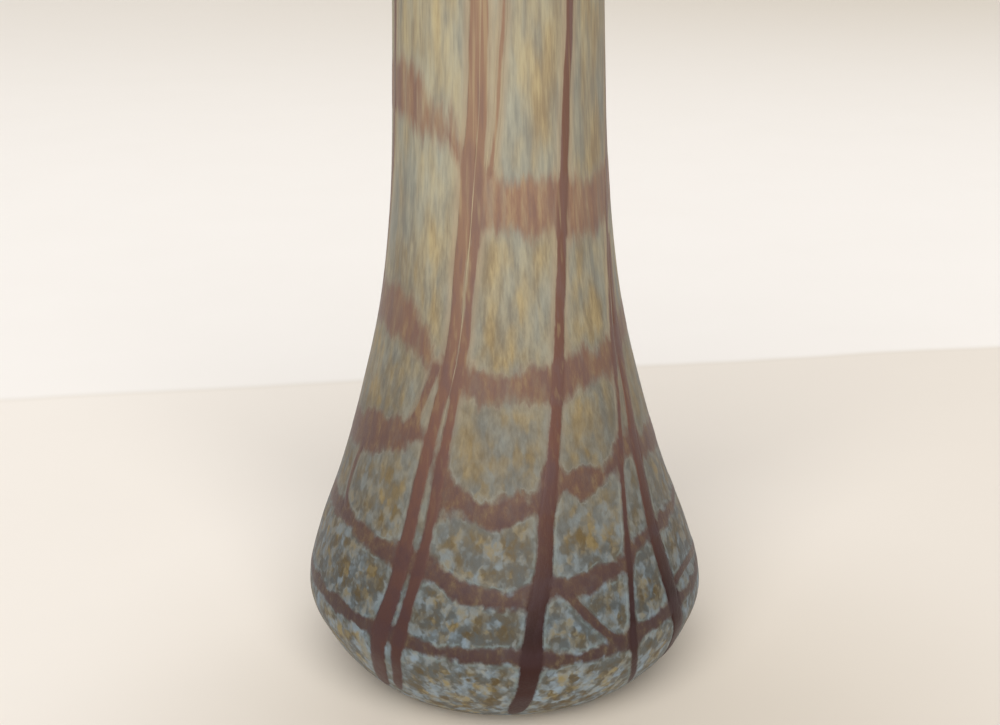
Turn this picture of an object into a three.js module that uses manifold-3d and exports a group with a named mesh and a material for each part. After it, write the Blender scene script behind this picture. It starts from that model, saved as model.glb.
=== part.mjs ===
// A hand blown art glass vase: a low round belly drawn up into a long, slightly tapering neck with a
// flared, fire-polished lip. The wall is built in layers, as it is gathered at the furnace:
//   inner_lining    pale first gather, the inside of the vessel
//   glass_body      the clear wall that carries everything, with the ground foot ring
//   mottled_skin    casing of rolled-on coloured chips, grooved where the trails were pressed in
//   wound_band_*    soft bands of trail glass wound round the vessel, under the upright trails
//   trail_*         upright trails drawn from lip to foot, lying on top of the bands
//   strand_*        short cross strands between trails and bands
// Units are millimetres, +Z is up, the foot stands on Z = 0 and the axis is X = Y = 0.
// Angles are degrees round the axis: 0 is the front (-Y), +90 is the right-hand side (+X).

import * as THREE from 'three';
import { mergeVertices } from 'three/addons/utils/BufferGeometryUtils.js';
import Module from 'manifold-3d';

const wasm = await Module();
wasm.setup();

// ---------------------------------------------------------------- driving dimensions

const HEIGHT = 350;
const LIP_RADIUS = 44.5;
const NECK_RADIUS = 36;
const NECK_HEIGHT = 280;
const BELLY_RADIUS = 75;
const BELLY_HEIGHT = 35;
const FOOT_RADIUS = 48;

// The outer surface, from foot to lip, as [height, radius]. A smooth curve runs through these points.
const OUTLINE = [
  [0, FOOT_RADIUS],
  [1.6, 52.5],
  [6, 58.7],
  [13, 65.2],
  [22, 70.8],
  [BELLY_HEIGHT, BELLY_RADIUS],
  [55, 70.2],
  [80, 61],
  [110, 52.1],
  [145, 43.9],
  [185, 39.1],
  [235, 36.7],
  [NECK_HEIGHT, NECK_RADIUS],
  [320, 37.5],
  [342, 41],
  [HEIGHT, LIP_RADIUS],
];

const GAP = 0.3; // clearance between neighbouring layers
const SKIN_WALL = 3.2; // thickness of the mottled casing
const BODY_WALL = 3; // thickness of the clear wall
const LINING_WALL = 1; // thickness of the pale lining
const TRAIL_PROUD = 0.35; // how far an upright trail stands out of the surface
const TRAIL_DEPTH = 0.7; // how far it is pressed in
const BAND_PROUD = 0.1; // the wound bands are almost flush
const BAND_DEPTH = 2; // and reach deeper, under the upright trails

const FOOT_RING_INNER = 36; // the ground ring that the vase stands on runs from here outwards
const FOOT_RECESS = 3.5; // height of the hollow inside the foot ring
const FLOOR_THICKNESS = 8; // glass above that hollow
const SKIN_FOOT_RADIUS = 50.5; // the casing stops here, just outside the foot ring
const SKIN_LIP_DROP = 1.5; // casing and lining stop this far below the lip

const SEGMENTS = 32; // facets round the vase
const FACET_SAG = 0.35; // most that a facet may stray from the outline
const SECTION_SPACING = 14; // most between two sections of a trail or band

// ---------------------------------------------------------------- routes of the trails

// Every route is a list of [angle, height, width]. Bands close on themselves, the others are open.
const BANDS = {
  wound_band_lip: [
    [-170, 288, 17], [-120, 284, 19], [-70, 281, 20], [-20, 276, 19],
    [30, 273, 20], [80, 277, 18], [130, 284, 18],
  ],
  wound_band_neck: [
    [-57, 224, 17], [-40, 217, 14], [-31, 213, 9], [-25, 209, 5], [-18, 199, 8], [-9, 190, 17],
    [10, 187, 18], [30, 186, 18], [48, 183, 17], [62, 186, 15], [90, 190, 16], [130, 196, 18],
    [175, 203, 18], [220, 212, 18], [263, 222, 18],
  ],
  wound_band_shoulder: [
    [-67, 147, 15], [-50, 145, 13], [-42, 141, 11], [-36, 137, 8], [-27, 130, 8], [-18, 128, 11],
    [0, 127, 12], [20, 127, 12], [34, 130, 12], [48, 129, 12], [60, 134, 10], [90, 138, 12],
    [130, 132, 14], [175, 136, 14], [220, 140, 15], [258, 145, 16],
  ],
  wound_band_waist: [
    [-71, 101, 14], [-50, 106, 14], [-35, 108, 12], [-26, 103, 8], [-18, 91, 8], [-8, 86, 9],
    [4, 85, 9], [13, 88, 8], [20, 94, 8], [32, 92, 9], [42, 94, 8], [52, 100, 7], [72, 95, 8],
    [105, 92, 10], [145, 97, 11], [185, 90, 11], [225, 95, 12], [262, 99, 13],
  ],
  wound_band_belly: [
    [-66, 72, 5], [-50, 69, 5.5], [-36, 67, 6], [-23, 64.5, 6], [-10, 59, 6.5], [2, 57, 6],
    [12, 60.5, 6], [22, 59.5, 6], [32, 61, 5.5], [39, 62, 5], [46, 66.5, 4], [60, 68.5, 4.5],
    [95, 69, 5], [130, 64, 5], [165, 66, 6], [200, 63, 6], [240, 66, 5], [272, 71, 5],
  ],
  wound_band_heel: [
    [-75, 43, 4.5], [-56, 42, 4.5], [-38, 40.5, 5], [-20, 39, 5], [0, 38, 5], [15, 35.5, 5],
    [31, 36, 5], [42, 38.5, 5], [54, 40, 5], [70, 41, 5], [100, 42, 5], [135, 39, 5],
    [180, 41, 5], [225, 43, 5], [255, 43, 5],
  ],
};

const TRAILS = {
  trail_left_outer: [
    [-10, 346, 2.4], [-11, 300, 2.6], [-12, 255, 2.7], [-13, 225, 2.8], [-15.5, 206, 3.2],
    [-18, 182, 3.2], [-20.5, 158, 3], [-22.5, 136, 3.2], [-27, 114, 3.4], [-30, 96, 3.6],
    [-32, 76, 4.2], [-33, 58, 4.8], [-36, 42, 5.2], [-38, 30, 5.4], [-42, 18, 5], [-47, 8, 4],
  ],
  trail_left_inner: [
    [-5, 346, 2.3], [-6, 300, 2.5], [-7, 255, 2.6], [-8, 225, 2.8], [-10, 200, 2.8],
    [-12, 180, 2.8], [-14.5, 158, 2.8], [-17, 138, 3.2], [-21, 112, 3.4], [-23.5, 92, 3.4],
    [-26, 66, 4], [-28, 52, 4.2], [-30, 38, 4.4], [-33, 24, 4.2], [-38, 11, 3.6],
  ],
  trail_left_fine: [
    [7, 346, 1.2], [5, 300, 1.2], [3, 255, 1.3], [1, 236, 1.3], [-2, 214, 1.5], [-5.5, 196, 1.6],
  ],
  trail_centre: [
    [44, 346, 2.2], [43, 300, 2.4], [41, 255, 2.6], [37, 221, 2.8], [33, 190, 3], [28.5, 156, 3.2],
    [24, 130, 3.4], [18, 100, 4.2], [14, 82, 4.8], [12, 68, 5.4], [8.5, 52, 5.6], [7, 38, 6],
    [5, 22, 6.4], [3, 12, 6], [1, 4.5, 4],
  ],
  trail_right_fine: [
    [88, 346, 3], [87, 300, 3.2], [85, 252, 3.4], [80, 217, 3.4], [73, 190, 3.2], [65, 160, 3],
    [59, 138, 3], [53, 112, 3], [47, 92, 3], [41.5, 68, 3.2], [38, 48, 3.6], [37, 34, 4],
    [40, 20, 4], [44, 9, 3.4],
  ],
  trail_right_dark: [
    [71, 171, 2.2], [68, 156, 2.6], [65, 138, 3], [62, 116, 3.4], [59, 98, 3.8], [57, 80, 4.2],
    [55, 64, 4.8], [55.5, 48, 5.4], [56.5, 36, 5.6], [60, 22, 5.2], [62, 11, 4],
  ],
  trail_side_left: [
    [-66, 346, 2.4], [-68, 300, 2.6], [-70, 240, 2.8], [-73, 206, 3], [-80, 178, 3],
    [-88, 150, 3.2], [-94, 118, 3.4], [-97, 90, 3.8], [-96, 62, 4.4], [-93, 40, 5],
    [-91, 22, 5], [-90, 8, 4],
  ],
  trail_back_right: [
    [118, 346, 2.4], [119, 290, 2.6], [121, 230, 2.8], [118, 180, 3], [112, 140, 3.4],
    [108, 105, 4], [106, 75, 4.6], [104, 48, 5.2], [105, 26, 5.4], [107, 8, 4.4],
  ],
  trail_back_centre: [
    [158, 346, 2.4], [160, 290, 2.6], [164, 230, 2.8], [166, 180, 3.2], [163, 140, 3.6],
    [158, 105, 4.2], [156, 75, 5], [158, 48, 5.6], [161, 26, 5.8], [163, 8, 4.6],
  ],
  trail_back_centre_fine: [
    [172, 346, 1.8], [173, 290, 2], [174, 230, 2.4], [173, 180, 2.6], [170.5, 140, 2.8],
    [167, 105, 3], [168, 75, 3.4], [171, 48, 3.8], [175, 26, 4], [178, 9, 3.4],
  ],
  trail_back_left: [
    [214, 346, 2.4], [213, 290, 2.6], [210, 230, 2.8], [208, 180, 3.2], [211, 140, 3.6],
    [215, 105, 4.2], [214, 75, 4.8], [211, 48, 5.4], [209, 26, 5.6], [208, 8, 4.4],
  ],
};

const STRANDS = {
  strand_left_upper: [[-29.5, 131, 2.6], [-32.5, 123, 3], [-35, 116, 3], [-38, 108, 2.6]],
  strand_left_low: [[-65, 98, 2.6], [-68, 87, 2.6], [-67, 77, 2.6], [-61, 70, 2.4]],
  strand_diagonal: [[16.5, 60, 2.8], [20, 54, 3.2], [25, 46.5, 3.2], [29, 41, 3.2], [33, 36, 2.8]],
  strand_right_fork: [[59, 47.5, 3], [66, 49, 3], [76, 48.5, 3], [87, 46, 3], [98, 42.5, 2.6]],
};

// ---------------------------------------------------------------- the outer surface

// A smooth curve through rows of numbers: uniform Catmull-Rom, read at t = 0, 1, 2 ... at the rows.
// A closed route repeats its rows with one more turn added to the angle, which comes first.
function smoothRow(rows, t, closed) {
  const span = closed ? Math.floor(t) : Math.min(Math.floor(t), rows.length - 2);
  const u = t - span;
  const rowAt = (i) => {
    if (!closed) return rows[THREE.MathUtils.clamp(i, 0, rows.length - 1)];
    const turn = Math.floor(i / rows.length);
    const [angle, ...rest] = rows[i - turn * rows.length];
    return [angle + 360 * turn, ...rest];
  };
  const [a, b, c, d] = [-1, 0, 1, 2].map((step) => rowAt(span + step));
  return b.map((_, k) => {
    const linear = (c[k] - a[k]) * u;
    const square = (2 * a[k] - 5 * b[k] + 4 * c[k] - d[k]) * u * u;
    const cube = (3 * b[k] - a[k] - 3 * c[k] + d[k]) * u * u * u;
    return b[k] + (linear + square + cube) / 2;
  });
}

const OUTLINE_SAMPLES = 24; // per stretch of the outline
const outline = [];
for (let i = 0; i <= (OUTLINE.length - 1) * OUTLINE_SAMPLES; i += 1) {
  const [height, radius] = smoothRow(OUTLINE, i / OUTLINE_SAMPLES, false);
  const before = outline.at(-1);
  const run = before ? before.run + Math.hypot(height - before.height, radius - before.radius) : 0;
  outline.push({ run, height, radius });
}

// Reads the outline at a value of one of its own quantities: 'run' (length along it) or 'height'.
function outlineAt(key, value) {
  const last = outline.length - 2;
  const found = outline.findIndex((sample) => sample[key] > value) - 1;
  const i = THREE.MathUtils.clamp(found < -1 ? last : found, 0, last);
  const [low, high] = [outline[i], outline[i + 1]];
  const u = (value - low[key]) / (high[key] - low[key]);
  const step = high.run - low.run;
  return {
    run: THREE.MathUtils.lerp(low.run, high.run, u),
    height: THREE.MathUtils.lerp(low.height, high.height, u),
    radius: THREE.MathUtils.lerp(low.radius, high.radius, u),
    outward: new THREE.Vector2((high.height - low.height) / step, (low.radius - high.radius) / step),
  };
}

// A point on the glass, `depth` above (+) or below (-) the outer surface.
function onGlass(degrees, run, depth) {
  const { height, radius, outward } = outlineAt('run', run);
  const angle = THREE.MathUtils.degToRad(degrees);
  const reach = radius + outward.x * depth;
  return new THREE.Vector3(
    reach * Math.sin(angle),
    -reach * Math.cos(angle),
    height + outward.y * depth,
  );
}

// The fewest samples of the outline that keep every straight stretch within FACET_SAG of the curve.
function facetRows() {
  const rows = [0];
  const from = new THREE.Vector2();
  const chord = new THREE.Vector2();
  const probe = new THREE.Vector2();
  const point = (i, target) => target.set(outline[i].radius, outline[i].height);
  const strays = (start, end) => {
    point(start, from);
    point(end, chord).sub(from).normalize();
    for (let i = start + 1; i < end; i += 1) {
      if (Math.abs(point(i, probe).sub(from).cross(chord)) > FACET_SAG) return true;
    }
    return false;
  };
  for (let i = 2; i < outline.length; i += 1) {
    if (strays(rows.at(-1), i)) rows.push(i - 1);
  }
  rows.push(outline.length - 1);
  return rows.map((i) => outline[i].run);
}

const FACET_RUNS = facetRows();

// The outline at one depth, from a length along it up to a height, as (radius, height) points.
function profileAt(depth, fromRun, topHeight) {
  const inside = FACET_RUNS.filter((run) => run > fromRun + 1);
  const points = [fromRun, ...inside].map((run) => {
    const { height, radius, outward } = outlineAt('run', run);
    return new THREE.Vector2(radius + outward.x * depth, height + outward.y * depth);
  });
  const above = points.findIndex((point) => point.y > topHeight - 1);
  const [low, high] = [points[above - 1], points[above]];
  const end = low.clone().lerp(high, (topHeight - low.y) / (high.y - low.y));
  return [...points.slice(0, above), end];
}

// ---------------------------------------------------------------- solids

function toSolid(geometry) {
  geometry.deleteAttribute('normal');
  geometry.deleteAttribute('uv');
  const merged = mergeVertices(geometry, 1e-4);
  const triVerts = Uint32Array.from(merged.index.array);
  const vertProperties = merged.attributes.position.array;
  return new wasm.Manifold(new wasm.Mesh({ numProp: 3, vertProperties, triVerts }));
}

function toMesh(name, solid, look) {
  const { vertProperties, triVerts } = solid.getMesh();
  const geometry = new THREE.BufferGeometry();
  geometry.setAttribute('position', new THREE.BufferAttribute(vertProperties, 3));
  geometry.setIndex(new THREE.BufferAttribute(triVerts, 1));
  geometry.computeVertexNormals();
  const mesh = new THREE.Mesh(geometry, new THREE.MeshStandardMaterial(look));
  mesh.name = name;
  return mesh;
}

// Turns a closed profile round the axis. The profile runs up the outside and down the inside.
function turned(profile) {
  const closed = [...profile, profile[0].clone()];
  return toSolid(new THREE.LatheGeometry(closed, SEGMENTS).rotateX(Math.PI / 2));
}

// A flat bar that follows a route on the glass, from `bottom` to `top` in depth. `grow` widens it on
// every side, which makes the groove that the bar itself lies in with clearance.
function bar(route, closed, bottom, top, grow) {
  const lastStop = closed ? route.length : route.length - 1;
  const sectionAt = (t) => {
    const [angle, height, width] = smoothRow(route, t, closed);
    const { run, radius } = outlineAt('height', height);
    return { angle, run, radius, width, mmPerDegree: THREE.MathUtils.degToRad(radius) };
  };
  const stops = [0];
  for (let span = 0; span < lastStop; span += 1) {
    const [from, to] = [sectionAt(span), sectionAt(span + 1)];
    const length = Math.hypot((to.angle - from.angle) * from.mmPerDegree, to.run - from.run);
    const parts = Math.ceil(length / SECTION_SPACING);
    for (let part = 1; part <= parts; part += 1) stops.push(span + part / parts);
  }
  const steps = stops.length - 1;
  const corner = (step, side, depth) => {
    const t = stops[step];
    const here = sectionAt(t);
    const { mmPerDegree } = here;
    const before = sectionAt(closed ? t - 0.2 : Math.max(t - 0.2, 0));
    const after = sectionAt(closed ? t + 0.2 : Math.min(t + 0.2, lastStop));
    const along = new THREE.Vector2((after.angle - before.angle) * mmPerDegree, after.run - before.run);
    along.normalize();
    const reach = side * (here.width / 2 + grow);
    const end = closed ? 0 : (Number(step === steps) - Number(step === 0)) * grow;
    const across = (along.x * end - along.y * reach) / mmPerDegree;
    return onGlass(here.angle + across, here.run + along.y * end + along.x * reach, depth);
  };
  return { steps, corner, bottom: bottom - grow, top };
}

// An open bar is a box with its long edges bent along the route.
function openBar(route, bottom, top, grow = 0) {
  const shape = bar(route, false, bottom, top, grow);
  const box = new THREE.BoxGeometry(1, 1, shape.steps, 1, 1, shape.steps);
  const { position } = box.attributes;
  for (let i = 0; i < position.count; i += 1) {
    const step = Math.round(position.getZ(i) + shape.steps / 2);
    const depth = position.getY(i) > 0 ? shape.top : shape.bottom;
    const point = shape.corner(step, Math.sign(position.getX(i)), depth);
    position.setXYZ(i, point.x, point.y, point.z);
  }
  return toSolid(box);
}

// A closed band is a torus with a four-sided section bent along the route.
function closedBar(route, bottom, top, grow = 0) {
  const shape = bar(route, true, bottom, top, grow);
  const ring = new THREE.TorusGeometry(10, 1, 4, shape.steps);
  const { position, uv } = ring.attributes;
  const corners = [[1, 'top'], [1, 'bottom'], [-1, 'bottom'], [-1, 'top']];
  for (let i = 0; i < position.count; i += 1) {
    const step = Math.round(uv.getX(i) * shape.steps) % shape.steps;
    const [side, face] = corners[Math.round(uv.getY(i) * 4) % 4];
    const point = shape.corner(step, side, shape[face]);
    position.setXYZ(i, point.x, point.y, point.z);
  }
  return toSolid(ring);
}

// A trail that its neighbours cross is trimmed to the longest stretch between them.
function trimmed(solid, cutters) {
  const rest = cutters.reduce((left, cutter) => left.subtract(cutter), solid);
  return rest.decompose().reduce((best, piece) => (piece.volume() > best.volume() ? piece : best));
}

// ---------------------------------------------------------------- looks

const SKIN_LOOK = { color: 0x8c9288, roughness: 0.42, metalness: 0 };
const BODY_LOOK = { color: 0xb9b7a0, roughness: 0.2, metalness: 0 };
const LINING_LOOK = { color: 0xd3c9a6, roughness: 0.3, metalness: 0 };
const BAND_LOOK = { color: 0x7d5f55, roughness: 0.45, metalness: 0 };
const TRAIL_LOOK = { color: 0x5a3a38, roughness: 0.4, metalness: 0 };

// ---------------------------------------------------------------- assembly

const vase = new THREE.Group();
const CUTTER_TOP = 3; // the grooves' cutting bars reach this far out of the surface

// Upright trails and cross strands share the top layer. A later one is trimmed at an earlier one.
const grooves = [];
for (const [name, route] of Object.entries({ ...TRAILS, ...STRANDS })) {
  const solid = trimmed(openBar(route, -TRAIL_DEPTH, TRAIL_PROUD), grooves);
  vase.add(toMesh(name, solid, TRAIL_LOOK));
  grooves.push(openBar(route, -TRAIL_DEPTH, CUTTER_TOP, GAP));
}

// The wound bands lie below, each grooved on top where a trail crosses it.
const bandGrooves = [];
for (const [name, route] of Object.entries(BANDS)) {
  const solid = trimmed(closedBar(route, -BAND_DEPTH, BAND_PROUD), grooves);
  vase.add(toMesh(name, solid, BAND_LOOK));
  bandGrooves.push(closedBar(route, -BAND_DEPTH, CUTTER_TOP, GAP));
}

// Mottled skin: the outermost layer, from just above the foot ring to just below the lip.
const footRun = outline.find((sample) => sample.radius > SKIN_FOOT_RADIUS).run;
const layerTop = HEIGHT - SKIN_LIP_DROP;
const skin = turned([
  ...profileAt(0, footRun, layerTop),
  ...profileAt(-SKIN_WALL, footRun, layerTop).reverse(),
]);
vase.add(toMesh('mottled_skin', trimmed(skin, [...grooves, ...bandGrooves]), SKIN_LOOK));

// Glass body: the clear wall under the skin, with a ground foot ring round a shallow hollow.
const bodyOutside = -(SKIN_WALL + GAP);
const bodyInside = bodyOutside - BODY_WALL;
const wallOutside = profileAt(bodyOutside, footRun, layerTop);
const wallInside = profileAt(bodyInside, footRun, layerTop);
const lipOutside = wallOutside.at(-1);
const lipInside = wallInside.at(-1);
const footOutside = wallOutside[0];
const floorHeight = FOOT_RECESS + FLOOR_THICKNESS;
const insideWall = wallInside.filter((point) => point.y > floorHeight + 2).reverse();
const lipCrest = (part) => new THREE.Vector2(
  THREE.MathUtils.lerp(lipOutside.x, lipInside.x, part),
  HEIGHT - SKIN_LIP_DROP * (2 * part - 1) ** 2 * 0.5,
);
const body = turned([
  new THREE.Vector2(0, FOOT_RECESS),
  new THREE.Vector2(FOOT_RING_INNER * 0.6, FOOT_RECESS * 0.75),
  new THREE.Vector2(FOOT_RING_INNER, 0),
  new THREE.Vector2(FOOT_RADIUS, 0),
  new THREE.Vector2(FOOT_RADIUS + 0.8, footOutside.y),
  ...wallOutside,
  lipCrest(0.15),
  lipCrest(0.5),
  lipCrest(0.85),
  ...insideWall,
  new THREE.Vector2(insideWall.at(-1).x - 6, floorHeight + 0.8),
  new THREE.Vector2(0, floorHeight),
]);
vase.add(toMesh('glass_body', body, BODY_LOOK));

// Inner lining: the pale gather that the inside shows, an open-topped pocket.
const liningOutside = profileAt(bodyInside - GAP, footRun, layerTop)
  .filter((point) => point.y > floorHeight + 2 + GAP);
const liningInside = profileAt(bodyInside - GAP - LINING_WALL, footRun, layerTop)
  .filter((point) => point.y > floorHeight + 2 + GAP + LINING_WALL)
  .reverse();
const lining = turned([
  new THREE.Vector2(0, floorHeight + GAP),
  new THREE.Vector2(liningOutside[0].x - 6, floorHeight + 0.8 + GAP),
  ...liningOutside,
  ...liningInside,
  new THREE.Vector2(liningInside.at(-1).x - 6, floorHeight + 0.8 + GAP + LINING_WALL),
  new THREE.Vector2(0, floorHeight + GAP + LINING_WALL),
]);
vase.add(toMesh('inner_lining', lining, LINING_LOOK));

export default vase;
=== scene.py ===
"""Looks of a hand blown art glass vase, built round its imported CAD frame.

The wall is a stack of fused glass layers, and every layer, trail and band is its own closed mesh laid on
one outline. All the coloured ones share one procedural pattern, so a trail melts into the skin with no
seam. The pattern reads values that are worked out here for each vertex: its place in the gather before
the neck was drawn out, its distance from the trails and bands, and its height.
Lengths are millimetres until a mesh is made; Blender gets metres.
Angles are degrees round the axis: 0 is the front (-Y), +90 is the right-hand side (+X).
A run is a length along the outline, up from the foot. A depth is a distance inwards from the outline.
"""

import bpy
import numpy as np
from mathutils import Matrix, Vector


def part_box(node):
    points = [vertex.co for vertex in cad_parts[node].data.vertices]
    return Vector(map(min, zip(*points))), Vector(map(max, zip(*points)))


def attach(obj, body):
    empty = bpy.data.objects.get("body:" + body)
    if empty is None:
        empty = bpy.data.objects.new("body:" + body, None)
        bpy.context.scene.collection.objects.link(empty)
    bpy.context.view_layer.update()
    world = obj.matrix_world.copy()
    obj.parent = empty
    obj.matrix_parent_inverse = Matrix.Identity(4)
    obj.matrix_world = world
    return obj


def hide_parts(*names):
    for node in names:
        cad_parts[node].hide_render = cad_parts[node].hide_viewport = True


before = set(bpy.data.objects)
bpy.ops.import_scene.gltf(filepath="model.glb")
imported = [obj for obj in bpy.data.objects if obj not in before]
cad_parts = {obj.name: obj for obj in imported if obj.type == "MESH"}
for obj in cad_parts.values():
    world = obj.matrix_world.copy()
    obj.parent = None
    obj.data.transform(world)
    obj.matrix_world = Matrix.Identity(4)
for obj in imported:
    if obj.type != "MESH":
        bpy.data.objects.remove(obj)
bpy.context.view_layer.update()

MM = 0.001
TO_MM = 1000           # for the object coordinates that some materials read

# ---------------------------------------------------------------- sizes, mostly as in the CAD

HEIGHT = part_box("glass_body")[1].z / MM
LIP_RADIUS = 44.5
NECK_RADIUS = 36
NECK_HEIGHT = 280
BELLY_RADIUS = 75
BELLY_HEIGHT = 35
FOOT_RADIUS = 48

# The outer surface, from foot to lip, as (height, radius).
OUTLINE = [
    (0, FOOT_RADIUS), (1.6, 52.5), (6, 58.7), (13, 65.2), (22, 70.8), (BELLY_HEIGHT, BELLY_RADIUS),
    (55, 70.2), (80, 61), (110, 52.1), (145, 43.9), (185, 39.1), (235, 36.7),
    (NECK_HEIGHT, NECK_RADIUS), (320, 37.5), (342, 41), (HEIGHT, LIP_RADIUS),
]

SKIN_WALL = 3.2
BODY_WALL = 3.6        # the CAD's 3 mm wall with the 0.3 mm gap on each side of it
LINING_WALL = 1.0
WALL = SKIN_WALL + BODY_WALL + LINING_WALL
SEAM = 0.02            # the layers are fused, so only a hair parts their meshes
LIP_CREST = 2.8        # the lip's round rises this far over its edges

FOOT_RING_INNER = 36
FOOT_RECESS = 3.5
FLOOR_THICKNESS = 8
SKIN_FOOT_RADIUS = 50.5
PONTIL_RADIUS = 11     # the hollow ground where the iron was broken off
PONTIL_HOLLOW = 1.3
BOWL_HEIGHT = 24       # the inside rounds off into the floor below this

# How the threads lie in the skin. They are fused to it, so they stand less proud than the CAD's solids.
TRAIL_PROUD = 0.22     # height of a trail's crown over the skin
TRAIL_SUNK = 0.10      # its edges dive this far under the skin
TRAIL_MARGIN = 0.8     # and reach this far beyond its colour
TRAIL_TIP = 7.0        # the colour of its ends tapers over this length
TIP_SAMPLES = 5        # the glass tapers over this many samples
TIP_DIVE = 0.3         # and dives this far under the skin
TRAIL_DEPTH = 0.7
BAND_DEPTH = 2.0
GROOVE = 0.30          # how far the skin dips under a trail
GROOVE_EDGE = 1.1      # the dip is full this far inside a trail's edge

# ---------------------------------------------------------------- routes, as in the CAD

# (angle, height, width) along each piece; bands close on themselves.
BANDS = {
    "wound_band_lip": [
        (-170, 288, 17), (-120, 284, 19), (-70, 281, 20), (-20, 276, 19),
        (30, 273, 20), (80, 277, 18), (130, 284, 18)],
    "wound_band_neck": [
        (-57, 224, 17), (-40, 217, 14), (-31, 213, 9), (-25, 209, 5), (-18, 199, 8), (-9, 190, 17),
        (10, 187, 18), (30, 186, 18), (48, 183, 17), (62, 186, 15), (90, 190, 16), (130, 196, 18),
        (175, 203, 18), (220, 212, 18), (263, 222, 18)],
    "wound_band_shoulder": [
        (-67, 147, 15), (-50, 145, 13), (-42, 141, 11), (-36, 137, 8), (-27, 130, 8), (-18, 128, 11),
        (0, 127, 12), (20, 127, 12), (34, 130, 12), (48, 129, 12), (60, 134, 10), (90, 138, 12),
        (130, 132, 14), (175, 136, 14), (220, 140, 15), (258, 145, 16)],
    "wound_band_waist": [
        (-71, 101, 14), (-50, 106, 14), (-35, 108, 12), (-26, 103, 8), (-18, 91, 8), (-8, 86, 9),
        (4, 85, 9), (13, 88, 8), (20, 94, 8), (32, 92, 9), (42, 94, 8), (52, 100, 7), (72, 95, 8),
        (105, 92, 10), (145, 97, 11), (185, 90, 11), (225, 95, 12), (262, 99, 13)],
    "wound_band_belly": [
        (-66, 72, 5), (-50, 69, 5.5), (-36, 67, 6), (-23, 64.5, 6), (-10, 59, 6.5), (2, 57, 6),
        (12, 60.5, 6), (22, 59.5, 6), (32, 61, 5.5), (39, 62, 5), (46, 66.5, 4), (60, 68.5, 4.5),
        (95, 69, 5), (130, 64, 5), (165, 66, 6), (200, 63, 6), (240, 66, 5), (272, 71, 5)],
    "wound_band_heel": [
        (-75, 43, 4.5), (-56, 42, 4.5), (-38, 40.5, 5), (-20, 39, 5), (0, 38, 5), (15, 35.5, 5),
        (31, 36, 5), (42, 38.5, 5), (54, 40, 5), (70, 41, 5), (100, 42, 5), (135, 39, 5),
        (180, 41, 5), (225, 43, 5), (255, 43, 5)],
}

TRAILS = {
    "trail_left_outer": [
        (-10, 346, 2.4), (-11, 300, 2.6), (-12, 255, 2.7), (-13, 225, 2.8), (-15.5, 206, 3.2),
        (-18, 182, 3.2), (-20.5, 158, 3), (-22.5, 136, 3.2), (-27, 114, 3.4), (-30, 96, 3.6),
        (-32, 76, 4.2), (-33, 58, 4.8), (-36, 42, 5.2), (-38, 30, 5.4), (-42, 18, 5), (-47, 8, 4)],
    "trail_left_inner": [
        (-5, 346, 2.3), (-6, 300, 2.5), (-7, 255, 2.6), (-8, 225, 2.8), (-10, 200, 2.8),
        (-12, 180, 2.8), (-14.5, 158, 2.8), (-17, 138, 3.2), (-21, 112, 3.4), (-23.5, 92, 3.4),
        (-26, 66, 4), (-28, 52, 4.2), (-30, 38, 4.4), (-33, 24, 4.2), (-38, 11, 3.6)],
    "trail_left_fine": [
        (7, 346, 1.2), (5, 300, 1.2), (3, 255, 1.3), (1, 236, 1.3), (-2, 214, 1.5), (-5.5, 196, 1.6)],
    "trail_centre": [
        (44, 346, 2.2), (43, 300, 2.4), (41, 255, 2.6), (37, 221, 2.8), (33, 190, 3), (28.5, 156, 3.2),
        (24, 130, 3.4), (18, 100, 4.2), (14, 82, 4.8), (12, 68, 5.4), (8.5, 52, 5.6), (7, 38, 6),
        (5, 22, 6.4), (3, 12, 6), (1, 4.5, 4)],
    "trail_right_fine": [
        (88, 346, 3), (87, 300, 3.2), (85, 252, 3.4), (80, 217, 3.4), (73, 190, 3.2), (65, 160, 3),
        (59, 138, 3), (53, 112, 3), (47, 92, 3), (41.5, 68, 3.2), (38, 48, 3.6), (37, 34, 4),
        (40, 20, 4), (44, 9, 3.4)],
    "trail_right_dark": [
        (71, 171, 2.2), (68, 156, 2.6), (65, 138, 3), (62, 116, 3.4), (59, 98, 3.8), (57, 80, 4.2),
        (55, 64, 4.8), (55.5, 48, 5.4), (56.5, 36, 5.6), (60, 22, 5.2), (62, 11, 4)],
    "trail_side_left": [
        (-66, 346, 2.4), (-68, 300, 2.6), (-70, 240, 2.8), (-73, 206, 3), (-80, 178, 3),
        (-88, 150, 3.2), (-94, 118, 3.4), (-97, 90, 3.8), (-96, 62, 4.4), (-93, 40, 5),
        (-91, 22, 5), (-90, 8, 4)],
    "trail_back_right": [
        (118, 346, 2.4), (119, 290, 2.6), (121, 230, 2.8), (118, 180, 3), (112, 140, 3.4),
        (108, 105, 4), (106, 75, 4.6), (104, 48, 5.2), (105, 26, 5.4), (107, 8, 4.4)],
    "trail_back_centre": [
        (158, 346, 2.4), (160, 290, 2.6), (164, 230, 2.8), (166, 180, 3.2), (163, 140, 3.6),
        (158, 105, 4.2), (156, 75, 5), (158, 48, 5.6), (161, 26, 5.8), (163, 8, 4.6)],
    "trail_back_centre_fine": [
        (172, 346, 1.8), (173, 290, 2), (174, 230, 2.4), (173, 180, 2.6), (170.5, 140, 2.8),
        (167, 105, 3), (168, 75, 3.4), (171, 48, 3.8), (175, 26, 4), (178, 9, 3.4)],
    "trail_back_left": [
        (214, 346, 2.4), (213, 290, 2.6), (210, 230, 2.8), (208, 180, 3.2), (211, 140, 3.6),
        (215, 105, 4.2), (214, 75, 4.8), (211, 48, 5.4), (209, 26, 5.6), (208, 8, 4.4)],
}

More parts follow.
